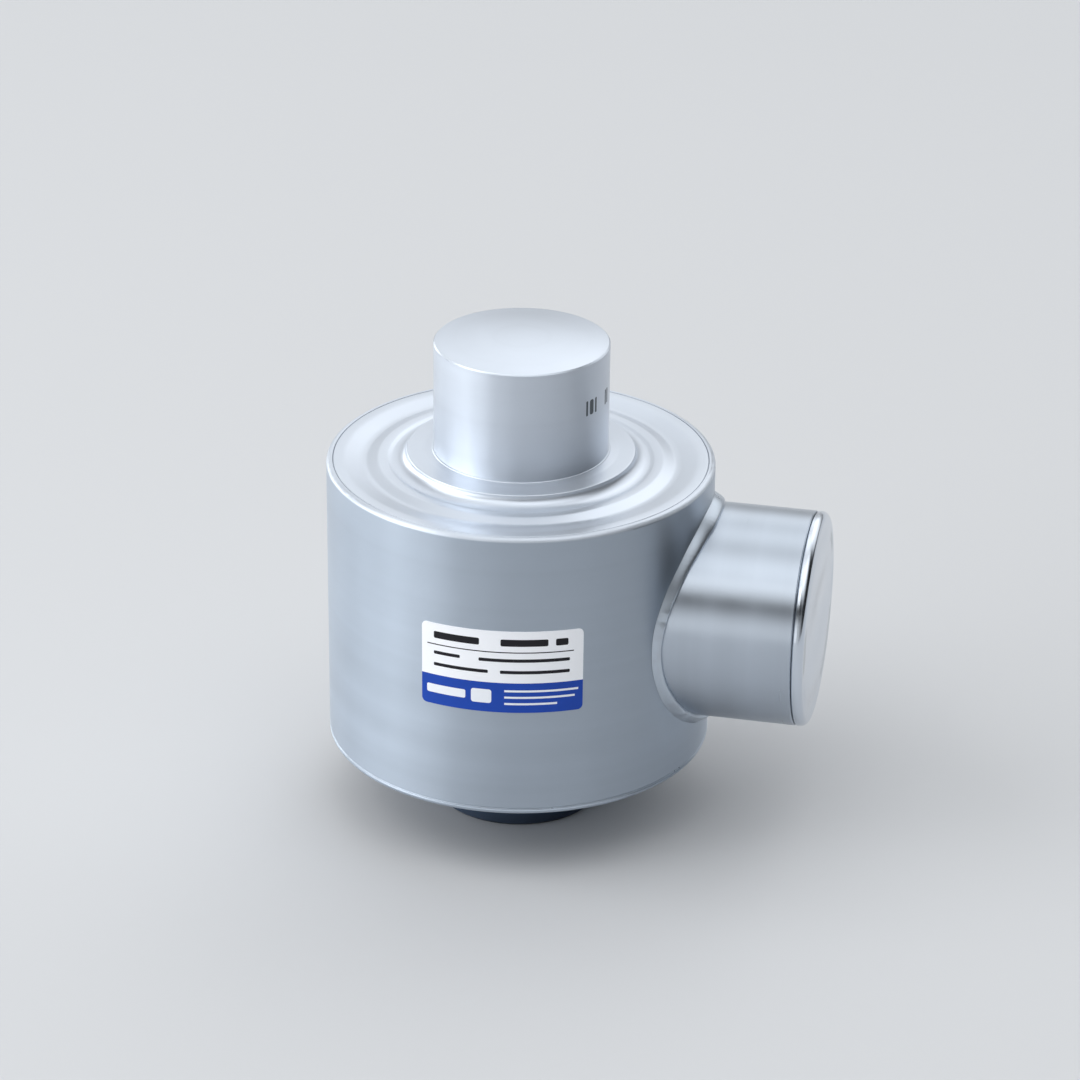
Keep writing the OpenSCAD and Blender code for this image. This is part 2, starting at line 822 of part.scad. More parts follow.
// A hexagonal prism along the gland's axis, between two distances, with chamfered corners at its far end
module gland_hexagon(near, far) {
    chamfer = gland_hex_r - gland_hex / 2;
    intersection() {
        translate([0, 0, near]) cylinder(r = gland_hex_r, h = far - near, $fn = 6);
        rotate_extrude()
            polygon([
                [0, near], [gland_hex_r, near], [gland_hex_r, far - chamfer / 2], [gland_hex / 2, far], [0, far]
            ]);
    }
}

// The gland body: thread in the housing's pad, hexagon, and neck with a pocket for the grommet
module gland_body() {
    color(steel)
        along_gland()
            difference() {
                union() {
                    translate([0, 0, pad_y - gland_thread_len])
                        cylinder(r = gland_hole_r - fit, h = gland_thread_len + gland_washer_t);
                    gland_hexagon(gland_hex_y, gland_neck_y);
                    translate([0, 0, gland_neck_y]) cylinder(r = gland_neck_r, h = gland_neck_len);
                }
                translate([0, 0, pad_y - gland_thread_len - over]) cylinder(r = cable_way_r, h = gland_end_y);
                translate([0, 0, grommet_y]) cylinder(r = grommet_r + fit, h = grommet_len + over);
            }
}

// The rubber grommet that seals round the cable
module gland_grommet() {
    color(rubber)
        along_gland() ring(grommet_bore_r, grommet_r, grommet_y, gland_neck_end_y);
}

// The nut that closes the gland
module gland_nut() {
    near = gland_neck_y + gland_nut_gap;
    color(steel)
        along_gland()
            difference() {
                gland_hexagon(near, gland_end_y);
                translate([0, 0, near - over])
                    cylinder(r = gland_neck_r + fit, h = gland_neck_end_y - near + over);
                translate([0, 0, near]) cylinder(r = cable_way_r, h = gland_end_y);
            }
}

column();
foot();
casing();
top_cover();
base_plate();
side_housing();
end_cap();
housing_weld();
label();
gauge_right();
gauge_rear();
gauge_left();
gauge_front();
gauge_terminals();
gauge_leads();
bridge_board();
board_spacers();
board_screws();
trim_resistors();
bridge_leads();
feedthrough_shell();
feedthrough_glass();
feedthrough_pins();
terminal_board();
cable_terminals();
gland_washer();
gland_body();
gland_grommet();
gland_nut();
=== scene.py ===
"""Dresses the compression load cell and sets up its studio.

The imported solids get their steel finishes. The corrugated cover's soft forms, the weld seams, the printed
label and the etched marks are added to them.
"""

import logging
import math
from dataclasses import dataclass
from enum import Enum

import bpy
from mathutils import Matrix, Vector


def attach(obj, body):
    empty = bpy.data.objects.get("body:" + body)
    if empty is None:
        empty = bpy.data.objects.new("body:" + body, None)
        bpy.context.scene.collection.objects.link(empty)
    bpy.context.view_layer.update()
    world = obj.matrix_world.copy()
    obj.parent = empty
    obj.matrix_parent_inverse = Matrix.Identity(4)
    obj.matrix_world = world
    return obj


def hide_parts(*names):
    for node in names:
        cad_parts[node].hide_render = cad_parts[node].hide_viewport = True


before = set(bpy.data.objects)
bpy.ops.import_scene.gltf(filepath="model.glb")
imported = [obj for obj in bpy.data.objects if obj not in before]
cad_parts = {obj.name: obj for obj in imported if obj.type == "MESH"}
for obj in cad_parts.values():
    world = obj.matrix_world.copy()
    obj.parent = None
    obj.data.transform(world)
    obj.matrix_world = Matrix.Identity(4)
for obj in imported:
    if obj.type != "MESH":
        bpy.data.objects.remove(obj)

Colour = tuple[float, float, float]
Point = tuple[float, float]
Socket = bpy.types.NodeSocket
Material = bpy.types.Material
Piece = bpy.types.Object

MM = 0.001
FULL_TURN = 2 * math.pi
ROUND_STEPS = 192
EDGE_STEPS = 6
NOISE_SPAN = (0.3, 0.7)
NOISE_MIDDLE = 0.5
MERGE_GAP = 0.002
TURNED_ANGLE = 32.0
LOG = logging.getLogger("load_cell")


class Axis(Enum):
    """The line that a turned piece was turned about."""

    COLUMN = ((0.0, 0.0, 1.0), (0.0, 0.0, 0.0))
    HOUSING = ((1.0, 0.0, 0.0), (0.0, 0.0, 52.2))
    GLAND = ((0.0, 1.0, 0.0), (57.9, 0.0, 52.2))

    @property
    def direction(self) -> Vector:
        """The unit vector along the axis."""
        return Vector(self.value[0])

    @property
    def centre(self) -> Vector:
        """A point on the axis, in metres."""
        return Vector(self.value[1]) * MM


class NodeBoard:
    """Lays shader nodes in one node tree and wires them."""

    def __init__(self, tree: bpy.types.NodeTree) -> None:
        """Starts on an emptied tree.

        Args:
            tree: The node tree of a material or a world.
        """
        self.tree = tree
        tree.nodes.clear()

    def add(self, kind: str, **settings: object) -> bpy.types.Node:
        """Adds a node and sets its own properties.

        Args:
            kind: The node's type name.
            **settings: Properties of the node.

        Returns:
            The new node.
        """
        node = self.tree.nodes.new(kind)
        for name, value in settings.items():
            setattr(node, name, value)
        return node

    def plug(self, value: object, socket: Socket) -> None:
        """Wires an output to an input, or sets the input's own value.

        Args:
            value: An output socket, a number, a vector or a colour.
            socket: The input socket.
        """
        if isinstance(value, Socket):
            self.tree.links.new(value, socket)
        elif isinstance(value, (int, float)):
            socket.default_value = value
        else:
            numbers = tuple(value)
            size = len(socket.default_value)
            socket.default_value = numbers if len(numbers) == size else (*numbers, 1.0)

    def math(self, operation: str, first: object, second: object = 0.0) -> Socket:
        """Adds a Math node and returns its output."""
        node = self.add("ShaderNodeMath", operation=operation)
        self.plug(first, node.inputs[0])
        self.plug(second, node.inputs[1])
        return node.outputs[0]

    def vector(self, operation: str, first: object, second: object = (0.0, 0.0, 0.0)) -> bpy.types.Node:
        """Adds a Vector Math node and returns it."""
        node = self.add("ShaderNodeVectorMath", operation=operation)
        self.plug(first, node.inputs[0])
        self.plug(second, node.inputs[1])
        return node

    def scaled(self, value: object, factor: Socket) -> Socket:
        """Multiplies a vector by a number."""
        node = self.vector("SCALE", value)
        self.plug(factor, node.inputs["Scale"])
        return node.outputs[0]

    def weigh(self, first: Socket, second: Socket, share: float) -> Socket:
        """Adds two values, of which the second has the given share."""
        weighed = self.math("MULTIPLY", first, 1 - share)
        return self.math("ADD", weighed, self.math("MULTIPLY", second, share))

    def noise(self, place: object, scale: float, detail: float = 3.0, line: bool = False) -> Socket:
        """Adds a Noise Texture.

        Args:
            place: A vector output, or a number output where line is set.
            scale: Waves per metre.
            detail: Octaves of the noise.
            line: Whether the noise runs along one number instead of in space.

        Returns:
            The noise value, about 0.5 on average.
        """
        node = self.add("ShaderNodeTexNoise", noise_dimensions="1D" if line else "3D")
        self.plug(place, node.inputs["W" if line else "Vector"])
        node.inputs["Scale"].default_value = scale
        node.inputs["Detail"].default_value = detail
        return node.outputs[0]

    def spread(self, value: Socket, span: Point, target: Point = (0.0, 1.0),
               smooth: bool = False) -> Socket:
        """Maps a span of values to another one.

        Args:
            value: The value.
            span: Its two ends.
            target: What the ends become.
            smooth: Whether the way between them is curved instead of straight.

        Returns:
            The mapped value, clamped at both ends.
        """
        node = self.add("ShaderNodeMapRange", interpolation_type="SMOOTHSTEP" if smooth else "LINEAR")
        for index, number in enumerate((*span, *target), start=1):
            node.inputs[index].default_value = number
        self.plug(value, node.inputs[0])
        return node.outputs[0]

    def blend(self, share: Socket, first: object, second: object) -> Socket:
        """Mixes two colours by a share from 0 to 1."""
        node = self.add("ShaderNodeMix", data_type="RGBA")
        self.plug(share, node.inputs[0])
        self.plug(first, node.inputs[6])
        self.plug(second, node.inputs[7])
        return node.outputs[2]

    def tones(self, noise: Socket, colour: Colour, tone_range: float) -> Socket:
        """Varies a colour between a darker and a lighter tone.

        Args:
            noise: The noise that picks the tone.
            colour: The middle tone.
            tone_range: How far the tones depart from it, as a share.

        Returns:
            The varied colour.
        """
        darker = tuple(c * (1 - tone_range) for c in colour)
        lighter = tuple(min(c * (1 + tone_range), 1.0) for c in colour)
        return self.blend(self.spread(noise, NOISE_SPAN), darker, lighter)

    def bump(self, height: Socket, depth: float, under: Socket | None = None) -> Socket:
        """Adds a Bump node.

        Args:
            height: The surface's height.
            depth: How deep a height of 1 is, in millimetres.
            under: The normal that the bump is laid on, where there is one.

        Returns:
            The normal.
        """
        node = self.add("ShaderNodeBump")
        node.inputs["Distance"].default_value = depth * MM
        self.plug(height, node.inputs["Height"])
        if under is not None:
            self.plug(under, node.inputs["Normal"])
        return node.outputs[0]

    def place(self) -> Socket:
        """The point's place on its object, in metres."""
        return self.add("ShaderNodeTexCoord").outputs["Object"]

    def surface(self, **values: object) -> None:
        """Ends the tree in a Principled shader.

        Args:
            **values: Its inputs by name, with _ for a space.
        """
        shader = self.add("ShaderNodeBsdfPrincipled")
        for name, value in values.items():
            self.plug(value, shader.inputs[name.replace("_", " ")])
        output = self.add("ShaderNodeOutputMaterial")
        self.tree.links.new(shader.outputs[0], output.inputs[0])


def new_material(name: str) -> tuple[Material, NodeBoard]:
    """Makes an empty node material.

    Args:
        name: The material's name.

    Returns:
        The material and the board for its nodes.
    """
    material = bpy.data.materials.new(name)
    material.use_nodes = True
    return material, NodeBoard(material.node_tree)


@dataclass(frozen=True)
class TurnedSteel:
    """Stainless steel with fine tool lines round the axis it was turned about.

    Lengths and depths are in millimetres. An end face can have a swell, which is the slow uneven wave that
    polishing by hand leaves. Above lapped_from the grain is straight, and above rim_from the steel is
    bright. Each of the three is left out where its first value is 0.
    """

    name: str
    colour: Colour
    roughness: float
    axis: Axis = Axis.COLUMN
    metallic: float = 1.0
    anisotropy: float = 0.7
    gloss_turn: float = 0.25
    roughness_range: float = 0.035
    tone_range: float = 0.045
    lines_per_m: float = 2600.0
    lines_per_band: float = 14.0
    line_depth: float = 0.0035
    clouds_per_m: float = 45.0
    specks_per_m: float = 1400.0
    band_share: float = 0.4
    grain_share: float = 0.3
    speck_share: float = 0.35
    swell_depth: float = 0.0
    swell_length: float = 27.0
    swell_crest: float = 22.0
    swell_edge: float = 23.2
    swell_fade: float = 4.0
    drift_per_m: float = 40.0
    drift: float = 9.0
    lapped_from: float = 0.0
    rim_from: float = 0.0
    rim_fade: float = 0.3
    rim_colour: Colour = (0.6, 0.65, 0.72)
    rim_metallic: float = 0.65

    def swell(self, board: NodeBoard, offset: Socket, flat: Socket, radius: Socket) -> Socket:
        """The height of the swell on an end face.

        Args:
            board: The material's board.
            offset: The point's place from the axis.
            flat: That place without its part along the axis.
            radius: The point's distance from the axis.

        Returns:
            The height, from -1 to 1, in level waves that wander and die out towards the face's edge.
        """
        up = board.vector("DOT_PRODUCT", offset, (0.0, 0.0, 1.0)).outputs["Value"]
        fade = (self.swell_edge * MM, (self.swell_edge - self.swell_fade) * MM)
        inside = board.spread(radius, fade, smooth=True)
        wander = board.math("SUBTRACT", board.noise(flat, self.drift_per_m, 0.0), NOISE_MIDDLE)
        drifted = board.math("ADD", up, board.math("MULTIPLY", wander, self.drift * MM))
        height = board.math("SUBTRACT", drifted, self.swell_crest * MM)
        waves = board.math("SINE", board.math("MULTIPLY", height, -FULL_TURN / (self.swell_length * MM)))
        return board.math("MULTIPLY", waves, inside)

    def tangent(self, board: NodeBoard, along: Socket, flat: Socket) -> Socket:
        """The way of the tool lines.

        Args:
            board: The material's board.
            along: The point's distance along the axis.
            flat: The point's place from the axis, without its part along it.

        Returns:
            A direction round the axis, and straight across a lapped face.
        """
        round_way = board.vector("CROSS_PRODUCT", self.axis.direction, flat).outputs[0]
        tangent = board.vector("NORMALIZE", round_way).outputs[0]
        if not self.lapped_from:
            return tangent
        lapped = board.math("GREATER_THAN", along, self.lapped_from * MM)
        straight = board.scaled((0.0, 1.0, 0.0), lapped)
        turned = board.scaled(tangent, board.math("SUBTRACT", 1.0, lapped))
        return board.vector("ADD", straight, turned).outputs[0]

    def build(self) -> Material:
        """Makes the material.

        Returns:
            Steel whose gloss is drawn out across its tool lines.
        """
        material, board = new_material(self.name)
        direction = self.axis.direction
        offset = board.vector("SUBTRACT", board.place(), self.axis.centre).outputs[0]
        along = board.vector("DOT_PRODUCT", offset, direction).outputs["Value"]
        flat = board.vector("MULTIPLY", offset, Vector((1, 1, 1)) - direction).outputs[0]
        radius = board.vector("LENGTH", flat).outputs["Value"]
        line = board.math("ADD", along, radius)
        grain = board.noise(line, self.lines_per_m, 4.0, line=True)
        bands = board.noise(line, self.lines_per_m / self.lines_per_band, 3.0, line=True)
        clouds = board.noise(offset, self.clouds_per_m, 4.0)
        specks = board.noise(offset, self.specks_per_m, 2.0)
        mottle = board.weigh(clouds, bands, self.band_share)
        gloss = board.weigh(mottle, grain, self.grain_share)
        limits = (self.roughness - self.roughness_range, self.roughness + self.roughness_range)
        relief = board.math("ADD", grain, board.math("MULTIPLY", specks, self.speck_share))
        normal = board.bump(relief, self.line_depth)
        if self.swell_depth:
            normal = board.bump(self.swell(board, offset, flat, radius), self.swell_depth, normal)
        colour = board.tones(mottle, self.colour, self.tone_range)
        metallic: object = self.metallic
        if self.rim_from:
            rim = board.spread(along, (self.rim_from * MM, (self.rim_from + self.rim_fade) * MM))
            colour = board.blend(rim, colour, self.rim_colour)
            metallic = board.spread(rim, (0.0, 1.0), (self.metallic, self.rim_metallic))
        board.surface(Base_Color=colour, Metallic=metallic,
                      Roughness=board.spread(gloss, NOISE_SPAN, limits),
                      Anisotropic=self.anisotropy, Anisotropic_Rotation=self.gloss_turn,
                      Tangent=self.tangent(board, along, flat), Normal=normal)
        return material


@dataclass(frozen=True)
class WeldSteel:
    """Weld metal: bright, a little uneven in gloss, with a faint tint from the heat. Darker colours, as
    given to the rim seam, are painted shade.
    """

    name: str
    colour: Colour = (0.5, 0.56, 0.63)
    tint: Colour = (0.43, 0.46, 0.51)
    metallic: float = 0.9
    roughness: Point = (0.27, 0.37)
    patches_per_m: float = 260.0
    patch_span: Point = (0.45, 0.75)
    patch_share: float = 0.5
    grain_per_m: float = 900.0
    grain_depth: float = 0.001

    def build(self) -> Material:
        """Makes the material.

        Returns:
            Steel with soft tinted patches.
        """
        material, board = new_material(self.name)
        place = board.place()
        patches = board.noise(place, self.patches_per_m, 3.0)
        grain = board.noise(place, self.grain_per_m, 2.0)
        share = board.spread(patches, self.patch_span, (0.0, self.patch_share))
        board.surface(Base_Color=board.blend(share, self.colour, self.tint), Metallic=self.metallic,
                      Roughness=board.spread(patches, NOISE_SPAN, self.roughness),
                      Normal=board.bump(grain, self.grain_depth))
        return material


@dataclass(frozen=True)
class Coating:
    """A surface with a mottled colour, a fine grain and its own gloss."""

    name: str
    colour: Colour
    roughness: float
    tone_range: float = 0.08
    roughness_range: float = 0.05
    clouds_per_m: float = 180.0
    grain_per_m: float = 1800.0
    grain_depth: float = 0.01
    coat: float = 0.0
    coat_roughness: float = 0.15
    metallic: float = 0.0
    specular: float = 0.5

    def build(self) -> Material:
        """Makes the material.

        Returns:
            A mottled, finely grained coating.
        """
        material, board = new_material(self.name)
        place = board.place()
        clouds = board.noise(place, self.clouds_per_m, 3.0)
        grain = board.noise(place, self.grain_per_m, 2.0)
        limits = (self.roughness - self.roughness_range, self.roughness + self.roughness_range)
        board.surface(Base_Color=board.tones(clouds, self.colour, self.tone_range), Metallic=self.metallic,
                      Roughness=board.spread(grain, NOISE_SPAN, limits), Coat_Weight=self.coat,
                      Coat_Roughness=self.coat_roughness, Specular_IOR_Level=self.specular,
                      Normal=board.bump(grain, self.grain_depth))
        return material


@dataclass(frozen=True)
class SealingGlass:
    """The greenish glass round the feedthrough's pins, with fine bubbles."""

    name: str
    colour: Colour = (0.2, 0.34, 0.36)
    bubble_colour: Colour = (0.5, 0.6, 0.6)
    bubbles_per_m: float = 900.0
    bubble_span: Point = (0.5, 0.7)
    bubble_share: float = 0.5
    bubble_depth: float = 0.01
    roughness: float = 0.12
    clearness: float = 0.6
    refraction: float = 1.5

    def build(self) -> Material:
        """Makes the material.

        Returns:
            Glass with small bubbles under its surface.
        """
        material, board = new_material(self.name)
        bubbles = board.noise(board.place(), self.bubbles_per_m, 2.0)
        share = board.spread(bubbles, self.bubble_span, (0.0, self.bubble_share))
        board.surface(Base_Color=board.blend(share, self.colour, self.bubble_colour),
                      Roughness=self.roughness, Transmission_Weight=self.clearness, IOR=self.refraction,
                      Normal=board.bump(bubbles, self.bubble_depth))
        return material


Finish = TurnedSteel | WeldSteel | Coating | SealingGlass


def clear_selection() -> None:
    """Leaves edit mode and deselects every object."""
    if bpy.context.mode != "OBJECT":
        bpy.ops.object.mode_set(mode="OBJECT")
    bpy.ops.object.select_all(action="DESELECT")


def activate(piece: Piece) -> None:
    """Makes a piece the only selected and the active one."""
    clear_selection()
    piece.select_set(True)
    bpy.context.view_layer.objects.active = piece


def select_mesh() -> None:
    """Selects the whole mesh in edit mode."""
    bpy.ops.mesh.select_all(action="SELECT")


def close_edit(angle: float | None = None) -> None:
    """Turns the mesh's faces outwards and leaves edit mode.

    Args:
        angle: Edges sharper than this many degrees stay sharp. Without it, the faces stay flat.
    """
    select_mesh()
    bpy.ops.mesh.normals_make_consistent(inside=False)
    bpy.ops.object.mode_set(mode="OBJECT")
    if angle is not None:
        bpy.ops.object.shade_smooth_by_angle(angle=math.radians(angle))


def finish_piece(piece: Piece, name: str, replaced: tuple[str, ...] = ()) -> None:
    """Names a piece, puts its place into its mesh and hangs it on the body.

    Args:
        piece: The finished piece.
        name: The piece's name.
        replaced: The CAD nodes that the piece stands for.
    """
    activate(piece)
    bpy.ops.object.transform_apply(location=True, rotation=True, scale=True)
    piece.name = name
    piece.data.name = name
    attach(piece, "root")
    if replaced:
        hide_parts(*replaced)
    stands_for = ", ".join(replaced) or "no node"
    LOG.info("%s: %d faces, stands for %s", name, len(piece.data.polygons), stands_for)


def dress(names: tuple[str, ...], finish: Finish) -> None:
    """Gives CAD nodes a finish in place of their plain one.

    Args:
        names: The nodes.
        finish: Their new finish.
    """
    material = finish.build()
    for name in names:
        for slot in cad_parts[name].material_slots:
            slot.material = material
        LOG.info("%s: %s", name, material.name)


def arc(centre: Point, reach: Point, turns: Point, steps: int) -> list[Point]:
    """Points along part of an ellipse in a section.

    Args:
        centre: Radius and height of its centre.
        reach: Its half width and half height.
        turns: Angles of the first and the last point, in degrees.
        steps: Steps between them.

    Returns:
        Radius and height of each point.
    """
    points = []
    for i in range(steps + 1):
        turn = math.radians(turns[0] + (turns[1] - turns[0]) * i / steps)
        points.append((centre[0] + reach[0] * math.cos(turn), centre[1] + reach[1] * math.sin(turn)))
    return points


def rounded_edge(r: float, z: float, radius: float) -> list[Point]:
    """Points round an outer edge, from its top face to its side."""
    return arc((r - radius, z - radius), (radius, radius), (90, 0), EDGE_STEPS)


def turn_piece(name: str, section: list[Point], material: Material,
               replaced: tuple[str, ...] = ()) -> Piece:
    """Draws a closed section point by point and spins it round the upright axis.

    Args:
        name: The piece's name.
        section: Radius and height of each point, in millimetres.
        material: The piece's material.
        replaced: The CAD nodes that the piece stands for.

    Returns:
        The turned steel piece, with smooth faces and sharp edges.
    """
    clear_selection()
    bpy.ops.mesh.primitive_plane_add(size=MM, location=(0, 0, 0))
    piece = bpy.context.object
    bpy.ops.object.mode_set(mode="EDIT")
    select_mesh()
    bpy.ops.mesh.merge(type="CENTER")
    last = (0.0, 0.0)
    for index, (r, z) in enumerate((*section, section[0])):
        move = (0.0, -(r - last[0]) * MM, (z - last[1]) * MM)
        if index == 0:
            bpy.ops.transform.translate(value=move)
        else:
            bpy.ops.mesh.extrude_region_move(TRANSFORM_OT_translate={"value": move})
        last = (r, z)
    select_mesh()
    bpy.ops.mesh.spin(steps=ROUND_STEPS, angle=FULL_TURN, center=(0, 0, 0), axis=(0, 0, 1))
    select_mesh()
    bpy.ops.mesh.remove_doubles(threshold=MERGE_GAP * MM)
    close_edit(TURNED_ANGLE)
    piece.data.materials.append(material)
    finish_piece(piece, name, replaced)
    return piece


@dataclass
class TopCover:
    """The thin turned cover between rim and button.

    From the button outwards it has a lip, a slope, a step, a hollow, a crease, a flat ring, a broad shallow
    groove and the edge that sits in the casing's rim.
    """

    bore_r: float = 19.05
    hub_r: float = 22.05
    hub_low_z: float = 80.45
    lip_r: float = 20.4
    lip_z: float = 88.4
    slope_r: float = 22.5
    slope_ease: tuple[Point, Point] = ((-0.25, 0.06), (0.2, 0.0))
    step_r: float = 26.2
    step_z: float = 87.9
    edge_round: float = 0.3
    valley_r: float = 29.4
    valley_z: float = 85.4
    valley_ease: Point = (0.3, 0.02)
    hollow_steps: int = 12
    crease_w: float = 0.9
    crease_ease: tuple[Point, Point] = ((0.0, -0.12), (0.35, -0.05))
    ring_r: float = 31.4
    ring_z: float = 85.8
    groove_in_r: float = 32.3
    groove_low_r: float = 35.7
    groove_out_r: float = 41.2
    groove_depth: float = 0.92
    groove_steps: int = 16
    flank_soft: float = 0.22
    rim_r: float = 42.9
    rim_round: float = 0.12
    rim_in_r: float = 39.9
    seat_z: float = 82.8
    web: float = 1.0
    undercut_r: float = 25.2

    def flank(self, share: float) -> float:
        """The share of the groove's depth at a share of one side, straight between two soft ends."""
        slope = 1 / (1 - self.flank_soft)
        if share < self.flank_soft:
            return slope * share ** 2 / (2 * self.flank_soft)
        if share > 1 - self.flank_soft:
            return 1 - slope * (1 - share) ** 2 / (2 * self.flank_soft)
        return slope * (share - self.flank_soft / 2)

    def groove_side(self, edge_r: float, steps: int) -> list[Point]:
        """One side of the groove.

        Args:
            edge_r: Radius of its upper edge.
            steps: Steps down to the lowest point.

        Returns:
            Radius and height of each point, from the edge down.
        """
        points = []
        for i in range(steps + 1):
            share = i / steps
            r = edge_r + (self.groove_low_r - edge_r) * share
            points.append((r, self.ring_z - self.groove_depth * self.flank(share)))
        return points

    def groove(self) -> list[Point]:
        """The shallow groove, which falls faster on its inner side than it rises again."""
        inner = self.groove_side(self.groove_in_r, self.groove_steps)
        outer = self.groove_side(self.groove_out_r, self.groove_steps - 1)
        return [*inner, *outer[-2::-1]]

    def hollow(self) -> list[Point]:
        """The hollow that falls from the step's edge to the crease."""
        top = self.step_z - self.edge_round
        reach = (self.step_r - self.valley_r, self.valley_z - top)
        return arc((self.valley_r, top), reach, (0, 90), self.hollow_steps)[1:]

    def section(self) -> list[Point]:
        """The cover's closed section.

        Returns:
            Radius and height of each point, in millimetres.
        """
        slope = [(self.slope_r + r, self.step_z + z) for r, z in self.slope_ease]
        crease_r = self.valley_r + self.crease_w
        crease = [(crease_r + r, self.ring_z + z) for r, z in self.crease_ease]
        web_z = self.valley_z - self.web
        low_step_z = self.step_z - self.web
        return [
            (self.bore_r, self.hub_low_z),
            (self.bore_r, self.lip_z),
            *rounded_edge(self.lip_r, self.lip_z, self.edge_round)[:-1],
            *slope,
            *rounded_edge(self.step_r, self.step_z, self.edge_round),
            *self.hollow(),
            (self.valley_r + self.valley_ease[0], self.valley_z + self.valley_ease[1]),
            *crease,
            (self.ring_r, self.ring_z),
            *self.groove(),
            *rounded_edge(self.rim_r, self.ring_z, self.rim_round),
            (self.rim_r, self.seat_z),
            (self.rim_in_r, self.seat_z),
            (self.rim_in_r, web_z),
            (self.undercut_r, web_z),
            (self.undercut_r, low_step_z),
            (self.hub_r, low_step_z),
            (self.hub_r, self.hub_low_z),
        ]

    def build(self, material: Material) -> Piece:
        """Models the cover by spinning its section.

        Args:
            material: The cover's steel.

        Returns:
            The cover.
        """
        return turn_piece("corrugated_cover", self.section(), material, ("top_cover",))


@dataclass
class RimSeam:
    """The fine welded seam that fills the joint between the top cover and the casing's rim."""

    inner_r: float = 42.91
    outer_r: float = 43.09
    top_z: float = 85.74
    low_z: float = 85.2

    def build(self, material: Material) -> Piece:
        """Models the seam as a thin ring with a rounded top.

        Args:
            material: The weld metal.

        Returns:
            The seam.
        """
        half = (self.outer_r - self.inner_r) / 2
        centre = ((self.inner_r + self.outer_r) / 2, self.top_z - half)
        crown = arc(centre, (half, half), (180, 0), EDGE_STEPS)
        section = [(self.outer_r, self.low_z), (self.inner_r, self.low_z), *crown]
        return turn_piece("rim_seam", section, material)


@dataclass
class BaseSeam:
    """The flush welded seam between the casing's tube and the base plate, in the groove of their bevels."""

    inner_r: float = 44.05
    shoulder_r: float = 44.3
    crown: float = 0.15
    crown_steps: int = 8
    low_z: float = 18.12
    high_z: float = 18.48

    def build(self, material: Material) -> Piece:
        """Models the seam as a thin ring with an outward crown.

        Args:
            material: The weld metal.

        Returns:
            The seam.
        """
        centre = (self.shoulder_r, (self.low_z + self.high_z) / 2)
        reach = (self.crown, (self.high_z - self.low_z) / 2)
        crown = arc(centre, reach, (-90, 90), self.crown_steps)
        section = [(self.inner_r, self.high_z), (self.inner_r, self.low_z), *crown]
        return turn_piece("base_seam", section, material)


